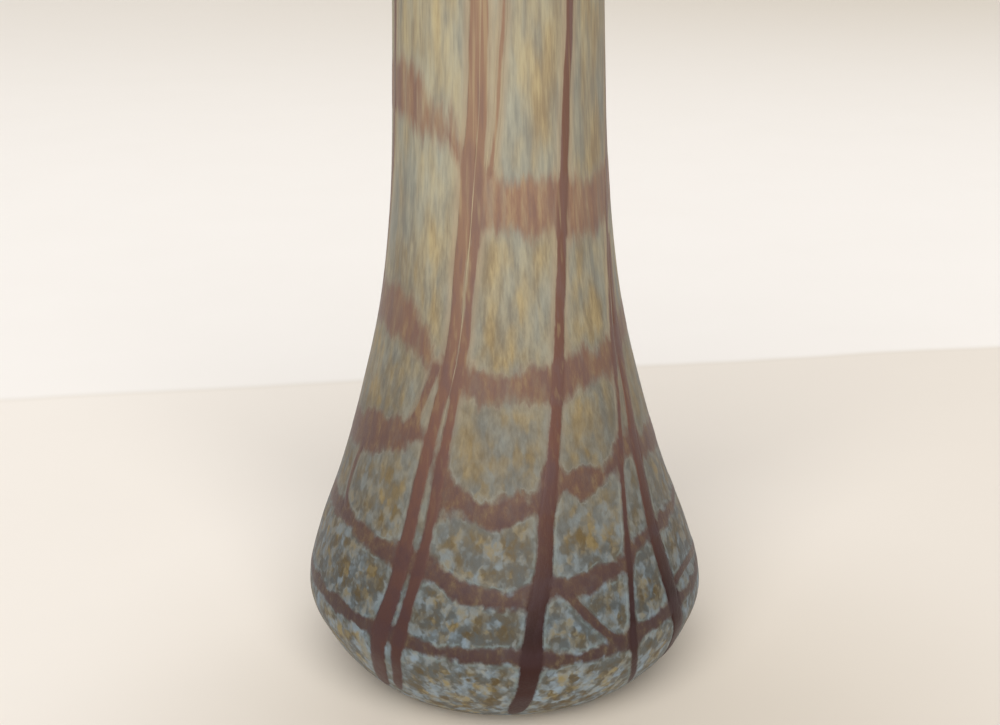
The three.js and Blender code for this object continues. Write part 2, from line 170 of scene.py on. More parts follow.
STRANDS = {
    "strand_left_upper": [(-29.5, 131, 2.6), (-32.5, 123, 3), (-35, 116, 3), (-38, 108, 2.6)],
    "strand_left_low": [(-65, 98, 2.6), (-68, 87, 2.6), (-67, 77, 2.6), (-61, 70, 2.4)],
    "strand_diagonal": [(16.5, 60, 2.8), (20, 54, 3.2), (25, 46.5, 3.2), (29, 41, 3.2), (33, 36, 2.8)],
    "strand_right_fork": [(59, 47.5, 3), (66, 49, 3), (76, 48.5, 3), (87, 46, 3), (98, 42.5, 2.6)],
}

# How dark a trail stays up the neck: 0 is pale, 1 is dark.
TONES = {"trail_left_outer": 0.0, "trail_left_inner": 0.1, "trail_left_fine": -0.1}

# How far a trail's colour bled past its cord, or fell short of it.
BLEED = {"trail_left_outer": 0.6, "trail_right_dark": 0.9, "trail_centre": 0.3, "trail_right_fine": -0.5}

# Trails that run side by side are kept in two groups, so that the slit between them stays sharp.
SECOND_GROUP = ["trail_left_inner", "trail_right_fine", "trail_back_centre_fine", *STRANDS]

# ---------------------------------------------------------------- the outer surface


def smooth_rows(rows, t, closed=False):
    """Uniform Catmull-Rom through rows, where a whole number t is a row. A closed route adds a turn."""
    rows = np.asarray(rows, float)
    count = len(rows)
    span = np.floor(t).astype(int)
    if not closed:
        span = np.minimum(span, count - 2)
    u = (t - span)[:, None]

    def row(i):
        if not closed:
            return rows[np.clip(i, 0, count - 1)]
        picked = rows[i % count]
        picked[:, 0] += 360 * (i // count)
        return picked

    a, b, c, d = (row(span + step) for step in (-1, 0, 1, 2))
    square = (2 * a - 5 * b + 4 * c - d) * u**2
    cube = (3 * b - a - 3 * c + d) * u**3
    return b + ((c - a) * u + square + cube) / 2


SAMPLES = 40           # of the outline, per stretch
STRETCHES = len(OUTLINE) - 1
HEIGHTS, RADII = smooth_rows(OUTLINE, np.linspace(0, STRETCHES, STRETCHES * SAMPLES + 1)).T
RUNS = np.r_[0, np.cumsum(np.hypot(np.diff(HEIGHTS), np.diff(RADII)))]
UP_SLOPE, OUT_SLOPE = np.gradient(HEIGHTS, RUNS), np.gradient(RADII, RUNS)
NORMAL_OUT, NORMAL_UP = np.array([UP_SLOPE, -OUT_SLOPE]) / np.hypot(UP_SLOPE, OUT_SLOPE)
WIDENING = 5 * SAMPLES     # up to the belly the outline only widens, so there a radius gives the run
SKIN_FOOT_RUN = np.interp(SKIN_FOOT_RADIUS, RADII[:WIDENING], RUNS[:WIDENING])


def run_at_height(height, depth=0.0):
    """Run at which the surface that far inside the outline reaches a height."""
    return np.interp(height, HEIGHTS - NORMAL_UP * depth, RUNS)


def radius_at_run(run):
    return np.interp(run, RUNS, RADII)


def height_at_run(run):
    return np.interp(run, RUNS, HEIGHTS)


def smoothstep(low, high, x):
    t = np.clip((x - low) / (high - low), 0, 1)
    return t * t * (3 - 2 * t)


def on_glass(angle, run, depth=0.0):
    """Points at a depth in the wall, as x, y, z."""
    angle, run, depth = np.broadcast_arrays(angle, run, depth)
    radius = radius_at_run(run) - np.interp(run, RUNS, NORMAL_OUT) * depth
    height = height_at_run(run) - np.interp(run, RUNS, NORMAL_UP) * depth
    a = np.radians(angle)
    return np.stack([radius * np.sin(a), -radius * np.cos(a), height], -1)


HEEL_SLUMP = 1.1


def hand_made(points):
    """The slow unevenness of free blowing: a wall that swells and sinks, a heel that slumped a little."""
    x, y, z = np.asarray(points, float).T
    a = np.arctan2(x, -y)
    h = z / HEIGHT
    swell = 0.22 * np.sin(2 * a + 4.1 * h + 0.6) + 0.14 * np.sin(3 * a - 6.3 * h + 2.2)
    swell = swell + 0.10 * np.sin(5 * a + 9 * h + 1.1) + 0.12 * np.sin(14 * h + a)
    off_ends = smoothstep(2, 30, z) * smoothstep(HEIGHT, HEIGHT - 25, z)
    swell = swell * off_ends * smoothstep(5, 30, np.hypot(x, y))
    slump = HEEL_SLUMP * smoothstep(1, 6, z) * smoothstep(42, 12, z)
    lip = (0.25 * np.sin(2 * a + 0.8) + 0.15 * np.sin(3 * a + 2)) * smoothstep(HEIGHT - 70, HEIGHT, z)
    return np.stack([x + swell * np.sin(a) + slump, y - swell * np.cos(a), z + lip], -1)


# ---------------------------------------------------------------- distance to trails and bands

ROUTE_STEP = 1.2       # between samples of a route
ROUTE_READS = 400
ROUTE_FADE = 12        # the unevenness fades out this near an end, so that a closed route meets itself
WIDTH_WAVER = 0.10     # of the width
SIDE_SWAY = 0.22


def meander(phase, along):
    """Small unevenness of a hand-laid thread, between -1 and 1."""
    waves = np.sin(along / 7.3 + phase) + np.sin(along / 17.9 + 2.3 * phase)
    return (waves + np.sin(along / 4.1 + 5 * phase)) / 3


def lay_route(name, rows, closed=False):
    """A route as even samples: angle, run, half width."""
    last = len(rows) if closed else len(rows) - 1
    angle, height, width = smooth_rows(rows, np.linspace(0, last, ROUTE_READS), closed).T
    run = run_at_height(height)
    steps = np.hypot(np.radians(np.diff(angle)) * radius_at_run(run[1:]), np.diff(run))
    along = np.r_[0, np.cumsum(steps)]
    even = np.linspace(0, along[-1], int(along[-1] / ROUTE_STEP) + 1)
    angle, run, width = (np.interp(even, along, v) for v in (angle, run, width))
    phase = sum(map(ord, name)) % 97
    fade = np.clip(np.minimum(even, along[-1] - even) / ROUTE_FADE, 0, 1)
    width = width * (1 + WIDTH_WAVER * meander(phase, even) * fade)
    sway = SIDE_SWAY * meander(phase + 3, even * 0.7) * fade
    if closed:
        return angle, run + sway, width / 2
    return angle + np.degrees(sway / radius_at_run(run)), run, width / 2


ROUTES = {name: lay_route(name, rows) for name, rows in {**TRAILS, **STRANDS}.items()}
BAND_ROUTES = {name: lay_route(name, rows, True) for name, rows in BANDS.items()}
FAR = 40.0             # distances are not worked out beyond this
TRAIL_WEB = 1.2        # how far two trails that meet draw together


def smooth_min(a, b, reach):
    h = np.clip(1 - np.abs(a - b) / reach, 0, 1)
    return np.minimum(a, b) - h * h * reach / 4


def turn_between(angle, other):
    return (angle - other + 180) % 360 - 180


def to_upright(route, angle, run):
    """Distance to the edge of an upright trail, negative inside it."""
    a, r, half = (v[::-1] for v in route)
    lean = np.gradient(np.radians(a), r)
    centre, width, lean = (np.interp(run, r, v) for v in (a, half, lean))
    across = np.radians(turn_between(angle, centre)) * radius_at_run(run)
    across = across / np.hypot(1, lean * radius_at_run(run))
    inside = np.minimum(run - r[0], r[-1] - run)
    width = width * np.sqrt(np.clip(inside / TRAIL_TIP, 0, 1))
    beyond = np.maximum(-inside, 0)
    return np.hypot(across, beyond) - width


def to_strand(route, angle, run):
    """The same for a short strand, which runs any way."""
    a, r, half = route
    distance = np.full(angle.shape, FAR)
    near = (np.abs(turn_between(angle, a.mean())) < 45) & (np.abs(run - r.mean()) < FAR)
    across = np.radians(turn_between(angle[near][:, None], a)) * radius_at_run(run[near])[:, None]
    distance[near] = (np.hypot(across, run[near][:, None] - r) - half).min(1)
    return distance


def to_band(route, angle, run):
    """Distance to the edge of a wound band, negative inside it."""
    a, r, half = route
    climb = np.gradient(r, np.radians(a))
    centre, width, climb = (np.interp(angle, a, v, period=360) for v in (r, half, climb))
    return np.abs(run - centre) / np.hypot(1, climb / radius_at_run(centre)) - width


def fields(angle, run):
    """Distances to the two groups of trails and to the bands, and what the nearest trail is like:
    how dark it stays up the neck, and whether it is a strand, which has the bands' colour."""
    groups = [np.full(angle.shape, FAR), np.full(angle.shape, FAR)]
    weights = np.full(angle.shape, 1e-9)
    tones = np.full(angle.shape, 1e-9)
    strands = np.zeros(angle.shape)
    for name, route in ROUTES.items():
        measure = to_strand if name in STRANDS else to_upright
        distance = measure(route, angle, run) - BLEED.get(name, 0)
        group = int(name in SECOND_GROUP)
        groups[group] = smooth_min(groups[group], distance, TRAIL_WEB)
        near = np.exp(-np.clip(distance, -4, 20))
        weights += near
        tones += near * TONES.get(name, 1.0)
        strands += near * (name in STRANDS)
    band = np.min([to_band(route, angle, run) for route in BAND_ROUTES.values()], axis=0)
    return groups[0], groups[1], band, tones / weights, strands / weights


# How far a point lay up the gather before the neck was drawn out: round chips below, long streaks above.
DRAWN_FROM, DRAWN_TO = 45, 240
MOST_STRETCH = 4.8
STRETCH = 1 + MOST_STRETCH * smoothstep(DRAWN_FROM, DRAWN_TO, HEIGHTS) ** 1.2
SHRUNK = np.diff(RUNS) / STRETCH[1:]
GATHER_RISE = np.sqrt(np.maximum(SHRUNK**2 - np.diff(RADII) ** 2, (0.3 * SHRUNK) ** 2))
GATHER_HEIGHT = np.r_[0, np.cumsum(GATHER_RISE)]


def pattern_values(angle, run):
    """What the pattern reads at each vertex."""
    gather = on_glass(angle, run)
    gather[:, 2] = np.interp(run, RUNS, GATHER_HEIGHT)
    first, second, band, tone, strand = fields(angle, run)
    return {"gather": gather, "trail_one": first, "trail_two": second, "band": band, "tone": tone,
            "strand": strand, "level": height_at_run(run) / HEIGHT}


# ---------------------------------------------------------------- meshes


def add_piece(name, stands_for, points, faces, material, values=None):
    """A smooth closed mesh, in metres, that rides on the body and stands for its CAD node."""
    mesh = bpy.data.meshes.new(name)
    mesh.from_pydata((hand_made(points) * MM).tolist(), [], faces)
    for key, value in (values or {}).items():
        kind, field = ("FLOAT_VECTOR", "vector") if np.ndim(value) == 2 else ("FLOAT", "value")
        layer = mesh.attributes.new(key, kind, "POINT")
        layer.data.foreach_set(field, np.ravel(value).astype(np.float32))
    mesh.polygons.foreach_set("use_smooth", np.ones(len(mesh.polygons), bool))
    mesh.materials.append(material)
    mesh.update()
    piece = bpy.data.objects.new(name, mesh)
    bpy.context.scene.collection.objects.link(piece)
    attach(piece, "root")
    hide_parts(stands_for)
    return piece


def loop_faces(rows, columns, closed):
    """Quads between rings of equal size, from the first ring to the last, and back again if closed."""
    faces = []
    for i in range(rows if closed else rows - 1):
        low, high = i * columns, (i + 1) % rows * columns
        for j in range(columns):
            k = (j + 1) % columns
            faces.append((low + j, low + k, high + k, high + j))
    return faces


SECTION = 11           # points across the top of a ribbon
UNDERSIDE = (0.92, 0, -0.92)       # and across its underside, in half widths


def ribbon(name, route, closed, crown, sunk, margin, depth, material):
    """A trail or band: a lens-shaped strip whose edges dive just under the skin."""
    angle, run, half = route
    if closed:
        angle, run, half = angle[:-1], run[:-1], half[:-1]
        ahead, behind = np.roll(angle, -1), np.roll(angle, 1)
        turn, rise = (ahead - behind) % 360, np.roll(run, -1) - np.roll(run, 1)
    else:
        turn, rise = np.gradient(angle), np.gradient(run)
    radius = radius_at_run(run)
    along = np.stack([np.radians(turn) * radius, rise], -1)
    along /= np.linalg.norm(along, axis=1)[:, None]
    across = np.linspace(-1, 1, SECTION)
    lift = crown - (crown + sunk) * across**4
    across = np.r_[across, UNDERSIDE]
    lift = np.r_[lift, -depth, -depth, -depth]
    taper = np.ones(len(half))
    if not closed:
        place = np.arange(len(half))
        taper = np.sqrt(np.clip((np.minimum(place, place[::-1]) + 0.3) / TIP_SAMPLES, 0, 1))
    reach = ((half + margin) * taper)[:, None] * across
    lift = np.where(lift > 0, lift * taper[:, None], lift) - TIP_DIVE * (1 - taper[:, None])
    u_angle = angle[:, None] + np.degrees(along[:, 1:] * reach / radius[:, None])
    u_run = run[:, None] - along[:, :1] * reach
    rows, columns = u_angle.shape
    faces = loop_faces(rows, columns, closed)
    if not closed:
        faces.append(tuple(range(columns))[::-1])
        faces.append(tuple(range((rows - 1) * columns, rows * columns)))
    points = on_glass(u_angle, u_run, -lift).reshape(-1, 3)
    values = pattern_values(u_angle.ravel(), u_run.ravel())
    return add_piece(name + "_glass", name, points, faces, material, values)


def lip_round(outer, inner, count):
    """(run, depth) over the fire-polished lip, from one depth in the wall to another."""
    turn = np.linspace(*np.arccos(1 - 2 * np.array([outer, inner]) / WALL), count)
    depth = (1 - np.cos(turn)) * WALL / 2
    height = HEIGHT - LIP_CREST * (1 - np.sin(turn))
    run = [run_at_height(h, d) for h, d in zip(height, depth)]
    return np.stack([run, depth], -1)


SKIN_COLUMNS = 300
SKIN_ROWS = 280
SKIN_INNER_ROWS = 16


def skin(material):
    """The mottled casing: a dip under every trail outside, plain inside, rounded over at the lip."""
    lip = lip_round(0, SKIN_WALL, 6)
    outside = np.linspace((SKIN_FOOT_RUN, 0), lip[0], SKIN_ROWS)[:-1]
    inside = np.linspace(lip[-1], (SKIN_FOOT_RUN, SKIN_WALL), SKIN_INNER_ROWS)[1:]
    run, depth = np.concatenate([outside, lip, inside]).T
    rows = len(run)
    angle = np.tile(np.linspace(-180, 180, SKIN_COLUMNS, endpoint=False), rows)
    run, depth = np.repeat(run, SKIN_COLUMNS), np.repeat(depth, SKIN_COLUMNS)
    values = pattern_values(angle, run)
    under = np.minimum(values["trail_one"], values["trail_two"])
    dip = GROOVE * smoothstep(0.0, -GROOVE_EDGE, under) * (depth == 0)
    points = on_glass(angle, run, depth + dip)
    faces = loop_faces(rows, SKIN_COLUMNS, True)
    return add_piece("mottled_skin_glass", "mottled_skin", points, faces, material, values)


def turned(name, profile, material, columns=180):
    """A closed profile of (radius, height) turned round the axis; both its ends lie on the axis."""
    a = np.radians(np.linspace(-180, 180, columns, endpoint=False))
    middle = profile[1:-1]
    radius, height = (np.repeat(v, columns) for v in np.array(middle).T)
    a = np.tile(a, len(middle))
    rings = np.stack([radius * np.sin(a), -radius * np.cos(a), height], -1)
    faces = loop_faces(len(middle), columns, False)
    last = len(rings)
    for j in range(columns):
        k = (j + 1) % columns
        top = last - columns
        faces.append((k, j, last))
        faces.append((top + j, top + k, last + 1))
    points = np.concatenate([rings, [(0, 0, profile[0][1]), (0, 0, profile[-1][1])]])
    return add_piece(name + "_glass", name, points, faces, material)


def wall_profile(depth, low, high, count):
    """(radius, height) up the wall at a depth, between two heights."""
    run = np.linspace(run_at_height(low, depth), run_at_height(high, depth), count)
    return profile_of(run, depth)


def profile_of(run, depth):
    """(radius, height) at runs and depths."""
    x, y, z = on_glass(0, run, depth).T
    return list(zip(-y, z))


def bowl(depth, floor, count=26):
    """The inside's rounded bottom, from the axis out to where the wall takes over."""
    rim = wall_profile(depth, BOWL_HEIGHT, BOWL_HEIGHT + 1, 2)[0][0]
    turn = np.linspace(0, np.pi / 2, count)[:-1]
    radius = rim * np.sin(turn) ** 0.6
    height = floor + (BOWL_HEIGHT - floor) * (1 - np.cos(turn) ** 0.6)
    return list(zip(radius, height))


def glass_body(material):
    """The clear wall with its ground foot ring, the hollow under it and the mark of the pontil iron."""
    r = np.linspace(0, PONTIL_RADIUS, 7)
    hollow = list(zip(r, FOOT_RECESS + PONTIL_HOLLOW * (1 - (r / PONTIL_RADIUS) ** 2)))
    r = np.linspace(PONTIL_RADIUS + 0.5, FOOT_RING_INNER, 16)
    recess = list(zip(r, (FOOT_RECESS - 0.4) * (1 - smoothstep(27, FOOT_RING_INNER, r)) + 0.4))
    ring = [(FOOT_RING_INNER + 0.4, 0.1), (FOOT_RING_INNER + 0.9, 0)]
    ring += [(FOOT_RADIUS - 0.6, 0), (FOOT_RADIUS, 0.12)]
    foot = SKIN_FOOT_RUN - SEAM
    heel = profile_of(np.linspace(0.3, foot, 4), 0.0)
    out, inner = SKIN_WALL + SEAM, SKIN_WALL + BODY_WALL - SEAM
    step = profile_of(np.full(3, foot), np.linspace(1, out, 3))
    low = step[-1][1] + 0.3
    lip = lip_round(out, inner, 9)
    wall = wall_profile(out, low, lip_height(lip[0]), 70)[:-1]
    inside = wall_profile(inner, BOWL_HEIGHT, lip_height(lip[-1]), 50)[:-1][::-1]
    floor = FOOT_RECESS + FLOOR_THICKNESS
    profile = hollow + recess + ring + heel + step + wall + profile_of(*lip.T) + inside
    profile += bowl(inner, floor)[::-1]
    return turned("glass_body", profile, material)


def lip_height(point):
    run, depth = point
    return float(on_glass(0, run, depth)[2])


def lining(material):
    """The pale first gather: a thin cup inside the body."""
    out, inner = SKIN_WALL + BODY_WALL + SEAM, WALL
    lip = lip_round(out, inner, 7)
    floor = FOOT_RECESS + FLOOR_THICKNESS + SEAM
    outside = wall_profile(out, BOWL_HEIGHT, lip_height(lip[0]), 50)[:-1]
    inside = wall_profile(inner, BOWL_HEIGHT, lip_height(lip[-1]), 50)[:-1][::-1]
    profile = bowl(out, floor) + outside + profile_of(*lip.T) + inside
    profile += bowl(inner, floor + LINING_WALL)[::-1]
    return turned("inner_lining", profile, material)


# ---------------------------------------------------------------- materials


def paint(digits):
    """A colour as linear light, from its usual six digits."""
    parts = np.array([int(digits[i:i + 2], 16) / 255 for i in (0, 2, 4)])
    return (*np.where(parts <= 0.04045, parts / 12.92, ((parts + 0.055) / 1.055) ** 2.4), 1.0)


# Levels up the vase, from 0 at the foot to 1 at the lip, where the glass changes colour.
FOOT, BELLY, WAIST, NECK = 0.05, 0.13, 0.30, 0.55

# The mottled ground is chips of four glasses, deepest on the belly and paler as the wall thins up the neck.
# The neck stops also paint in light shining through the thin glass, and the foot stops are lightened as
# painted bounce light from the cloth.
OLIVE = {FOOT: "5c4e34", BELLY: "4a3e28", WAIST: "68583c", NECK: "82725a"}
SLATE = {FOOT: "5e6260", BELLY: "464a4a", WAIST: "5c5a54", NECK: "76766e"}
STRAW = {FOOT: "908460", BELLY: "6e6244", WAIST: "887652", NECK: "aa9c78"}
STEEL = {FOOT: "8a9aa6", BELLY: "68747c", WAIST: "747670", NECK: "989686"}

# The brown glass: the trails, the ones that stay pale up the neck, and the wound bands. The trails' foot
# stops are lightened as painted bounce light from the cloth, and their paler neck stops partly paint in
# light shining through the thin glass.
TRAIL = {FOOT: "3c2420", BELLY: "2a1816", WAIST: "5e4138", NECK: "684c40"}
PALE_TRAIL = {FOOT: "4c342e", BELLY: "462f2b", WAIST: "64483e", NECK: "826856"}
WOUND = {FOOT: "463630", BELLY: "463630", WAIST: "644c40", NECK: "826654"}
PLUM, MAUVE = "3c2c30", "6a5450"
PALE_EDGE_LOW, PALE_EDGE_HIGH = "6c7878", "a89c80"


class Graph:
    """Short calls for a material's nodes. A value is a number, a colour or another node's socket."""

    def __init__(self, name):
        self.material = bpy.data.materials.new(name)
        self.material.use_nodes = True
        self.tree = self.material.node_tree
        self.tree.nodes.clear()

    def feed(self, socket, value):
        if isinstance(value, bpy.types.NodeSocket):
            self.tree.links.new(value, socket)
        else:
            socket.default_value = value

    def node(self, kind, inputs, **settings):
        node = self.tree.nodes.new(kind)
        for key, value in settings.items():
            setattr(node, key, value)
        for key, value in inputs.items():
            self.feed(node.inputs[key], value)
        return node

    def math(self, operation, *values):
        return self.node("ShaderNodeMath", dict(enumerate(values)), operation=operation).outputs[0]

    def add(self, *values):
        total = values[0]
        for value in values[1:]:
            total = self.math("ADD", total, value)
        return total

    def times(self, *values):
        total = values[0]
        for value in values[1:]:
            total = self.math("MULTIPLY", total, value)
        return total

    def mix(self, factor, a, b):
        node = self.node("ShaderNodeMix", {}, data_type="RGBA")
        for index, value in ((0, factor), (6, a), (7, b)):
            self.feed(node.inputs[index], value)
        return node.outputs[2]

    def read(self, name, output="Fac"):
        return self.node("ShaderNodeAttribute", {}, attribute_name=name).outputs[output]

    def ramp(self, factor, stops):
        node = self.node("ShaderNodeValToRGB", {"Fac": factor})
        elements = node.color_ramp.elements
        while len(elements) < len(stops):
            elements.new(0.5)
        for element, (place, digits) in zip(elements, stops.items()):
            element.position = place
            element.color = paint(digits)
        return node.outputs[0]

    def step(self, low, high, value):
        inputs = {"Value": value, "From Min": low, "From Max": high}
        return self.node("ShaderNodeMapRange", inputs, interpolation_type="SMOOTHSTEP").outputs["Result"]

    def place(self):
        """Where a point is on its object, in mm."""
        return self.scaled(self.node("ShaderNodeTexCoord", {}).outputs["Object"], TO_MM, TO_MM, TO_MM)

    def seeds(self, place, scale):
        """Small round bubbles, 1 inside and 0 outside."""
        cell = self.node("ShaderNodeTexVoronoi", {"Vector": place, "Scale": scale})
        return self.step(0.12, 0.05, cell.outputs["Distance"])

    def from_middle(self, value):
        return self.math("SUBTRACT", value, 0.5)

    def rest(self, value):
        return self.math("SUBTRACT", 1.0, value)

    def scaled(self, vector, *factors):
        return self.node("ShaderNodeVectorMath", {0: vector, 1: factors}, operation="MULTIPLY").outputs[0]

    def noise(self, vector, scale, detail=2.0, rough=0.5, output="Fac"):
        inputs = {"Vector": vector, "Scale": scale, "Detail": detail, "Roughness": rough}
        return self.node("ShaderNodeTexNoise", inputs).outputs[output]

    def cells(self, vector, scale, blend):
        """Two random values for each cell, with soft borders."""
        inputs = {"Vector": vector, "Scale": scale, "Smoothness": blend}
        colour = self.node("ShaderNodeTexVoronoi", inputs, feature="SMOOTH_F1").outputs["Color"]
        parts = self.node("ShaderNodeSeparateColor", {"Color": colour}).outputs
        return parts[0], parts[1]

    def finish(self, colour, roughness, height, strength, distance, **settings):
        """The shader itself. Settings are the same all over, so they are set on its own sockets."""
        inputs = {"Strength": strength, "Distance": distance * MM, "Height": height}
        bump = self.node("ShaderNodeBump", inputs).outputs[0]
        inputs = {"Base Color": colour, "Roughness": roughness, "Normal": bump}
        shader = self.node("ShaderNodeBsdfPrincipled", inputs)
        for key, value in settings.items():
            shader.inputs[key.replace("_", " ")].default_value = value
        output = self.node("ShaderNodeOutputMaterial", {})
        self.feed(output.inputs[0], shader.outputs[0])
        return self.material


# Sizes in the pattern, as cells or waves in a millimetre of the gather.
CHIPS, FINE_CHIPS = 0.33, 0.80
THREADS, STREAKS, PATCHES = 1.1, 0.32, 0.12
WARPS, DRIFT, TINT = 0.35, 0.06, 0.17
FRAYS, RUFFLES, SHEER_SPOTS = 0.55, 0.08, 0.22
BREAKS, CLOUDS, SLOW_CLOUDS, STRIPES = 0.25, 0.28, 0.14, 0.55
CORDS, TOOTH = 1.6, 5.0
CHIP_BLEND = 0.8       # how softly one chip runs into the next
SHEEN_TINT = (0.75, 0.70, 0.80, 1)


def pattern_glass(name, rough):
    """The coloured glass: mottled chips and streaks, with the bands and then the trails drawn over them."""
    g = Graph(name)
    gather = g.read("gather", "Vector")
    trail_one, trail_two, band = (g.read(key) for key in ("trail_one", "trail_two", "band"))
    tone, strand, level = (g.read(key) for key in ("tone", "strand", "level"))
    drawn = g.step(0.12, 0.50, level)          # 0 on the belly, 1 where the neck was drawn out
    streaky = g.step(0.14, 0.40, level)

    # Chips: irregular cells of coloured glass, each light or dark, warm or cool, with finer ones between.
    warp = g.scaled(g.noise(gather, WARPS, output="Color"), 3.0, 3.0, 3.0)
    place = g.node("ShaderNodeVectorMath", {0: warp, 1: gather}, operation="ADD").outputs[0]
    place = g.scaled(place, 1, 1, 0.75)
    chip_light, chip_warm = g.cells(place, CHIPS, CHIP_BLEND)
    fine_light, fine_warm = g.cells(place, FINE_CHIPS, CHIP_BLEND)
    drift = g.noise(gather, DRIFT, 2.0)
    tint = g.noise(gather, TINT, 2.0)
    light_chips = g.add(g.times(chip_light, 0.60), g.times(fine_light, 0.35), g.times(drift, 0.3))
    warm_chips = g.add(g.times(chip_warm, 0.50), g.times(fine_warm, 0.20), g.times(tint, 0.6))

    # Further up they are drawn into soft streaks and threads, in slow patches of straw and grey-blue.
    thread = g.noise(g.scaled(gather, 1, 1, 0.4), THREADS, 2.0, 0.6)
    streak = g.noise(gather, STREAKS, 3.0, 0.6)
    patch = g.noise(g.scaled(gather, 1, 1, 1.3), PATCHES, 2.0)
    light_streaks = g.add(g.times(streak, 0.45), g.times(thread, 0.28), g.times(drift, 0.52))
    warm_streaks = g.add(g.times(patch, 0.7), g.times(chip_warm, 0.2))

    # Ragged edges: chipped by the foot, feathered into upright streaks on the neck.
    fray = g.from_middle(g.noise(g.scaled(gather, 1, 1, 0.6), FRAYS, 3.0, 0.65))
    ruffle = g.from_middle(g.noise(gather, RUFFLES, 2.0))
    chipped = g.from_middle(chip_light)
    waist = g.times(g.step(0.18, 0.24, level), g.step(0.37, 0.30, level))
    wander = g.add(6.0, g.times(drawn, 9.0), g.times(waist, 8.0))
    ragged = g.times(fray, g.add(1.8, g.times(drawn, 8.0)))
    band = g.add(band, ragged, g.times(ruffle, wander), g.times(chipped, 1.2))
    trail = g.add(g.math("SMOOTH_MIN", trail_one, trail_two, 2.2), g.times(fray, 1.3))
    outside = g.step(-0.4, 1.2, trail)         # 0 in a trail, 1 in the open band
    edge = g.math("SMOOTH_MIN", trail, band, 5.0)
    soft = g.add(0.45, g.times(outside, g.add(0.45, g.times(drawn, 2.6))))
    covered = g.step(soft, g.times(soft, -1.0), edge)
    sheer = g.step(0.45, 0.75, g.noise(g.scaled(gather, 1, 1, 0.6), SHEER_SPOTS, 3.0, 0.65))
    sheer = g.times(sheer, outside, g.add(0.10, g.times(drawn, 0.25)))
    covered = g.times(covered, g.rest(sheer))

    # The ground's colour, cooler beside the trails and bands.
    light = g.mix(streaky, g.step(0.34, 0.92, light_chips), g.step(0.46, 0.80, light_streaks))
    warm = g.mix(streaky, g.step(0.36, 0.94, warm_chips), g.step(0.22, 0.66, warm_streaks))
    # The level ramps carry painted light: lighter at the foot for bounce light, and partly paler up the
    # neck for light shining through.
    olive, slate, straw, steel = (g.ramp(level, stops) for stops in (OLIVE, SLATE, STRAW, STEEL))
    warm = g.times(warm, g.rest(g.times(g.step(6.0, 0.5, edge), 0.45)))
    base = g.mix(warm, g.mix(light, slate, steel), g.mix(light, olive, straw))

    # A broken pale line hugs the cells, with a softer glow beside the trails.
    pale = g.mix(drawn, paint(PALE_EDGE_LOW), paint(PALE_EDGE_HIGH))
    broken = g.step(0.42, 0.62, g.noise(gather, BREAKS, 1.0))
    line = g.step(0.7, 0.1, g.math("ABSOLUTE", g.math("SUBTRACT", edge, 0.8)))
    by_trail = g.times(g.step(3.0, 0.2, edge), g.step(4.5, 1.0, trail))
    base = g.mix(g.times(by_trail, g.add(0.10, g.times(drawn, 0.35))), base, pale)
    base = g.mix(g.times(line, broken, g.math("SUBTRACT", 0.5, g.times(drawn, 0.4))), base, pale)

    # Brown glass: nearly aubergine low down, pinkish on the neck. The bands are paler and cloudier.
    # The trail ramps carry painted light: lighter at the foot for bounce light, and partly paler up the
    # neck for light shining through.
    trail_brown = g.mix(tone, g.ramp(level, PALE_TRAIL), g.ramp(level, TRAIL))
    mauve = g.mix(drawn, paint(PLUM), paint(MAUVE))
    cloud = g.noise(g.scaled(gather, 1, 1, 0.6), CLOUDS, 4.0, 0.7)
    wound = g.mix(g.times(g.step(0.44, 0.66, cloud), 0.55), g.ramp(level, WOUND), mauve)
    wound = g.mix(g.times(g.step(0.50, 0.30, cloud), 0.30), wound, straw)
    brown = g.mix(g.math("MAXIMUM", outside, strand), trail_brown, wound)
    crossing = g.times(g.step(1.5, -1.5, trail), g.step(2.0, -1.0, band))
    slow = g.step(0.48, 0.68, g.noise(g.scaled(gather, 1, 1, 0.8), SLOW_CLOUDS, 2.0))
    brown = g.mix(g.add(g.times(slow, 0.35), g.times(crossing, 0.35)), brown, mauve)
    stripe = g.noise(g.scaled(gather, 1, 1, 0.12), STRIPES, 2.0)
    lined = g.times(drawn, g.rest(g.times(outside, 0.65)))
    brown = g.mix(g.times(g.step(0.52, 0.66, stripe), g.add(0.10, g.times(lined, 0.40))), brown, mauve)
    brown = g.mix(g.times(g.step(0.48, 0.30, stripe), g.times(lined, 0.30)), brown, straw)
    colour = g.mix(covered, base, brown)

    # Where two trails run side by side up the neck, a pale hairline parts them.
    parting = g.step(0.5, 0.15, g.math("ABSOLUTE", g.math("SUBTRACT", trail_one, trail_two)))
    together = g.step(1.5, 0.2, g.math("MAXIMUM", trail_one, trail_two))
    colour = g.mix(g.times(parting, together, drawn, g.add(0.3, g.times(broken, 0.5))), colour, pale)

    # A satin surface, with the soft relief of the chips and the fine drawn-out cords.
    cords = g.noise(g.scaled(gather, 1, 1, 0.3), CORDS, 3.0, 0.65)
    tooth = g.noise(gather, TOOTH, 3.0, 0.6)
    relief = g.add(g.times(chip_light, 0.30), g.times(tooth, 0.10), g.times(cords, 0.6))
    roughness = g.add(rough, g.times(g.from_middle(cords), 0.25), g.times(covered, -0.03))
    satin = {"IOR": 1.45, "Specular_IOR_Level": 0.16, "Sheen_Weight": 0.03, "Sheen_Roughness": 0.5}
    return g.finish(colour, roughness, relief, 0.5, 0.32, Sheen_Tint=SHEEN_TINT, **satin)


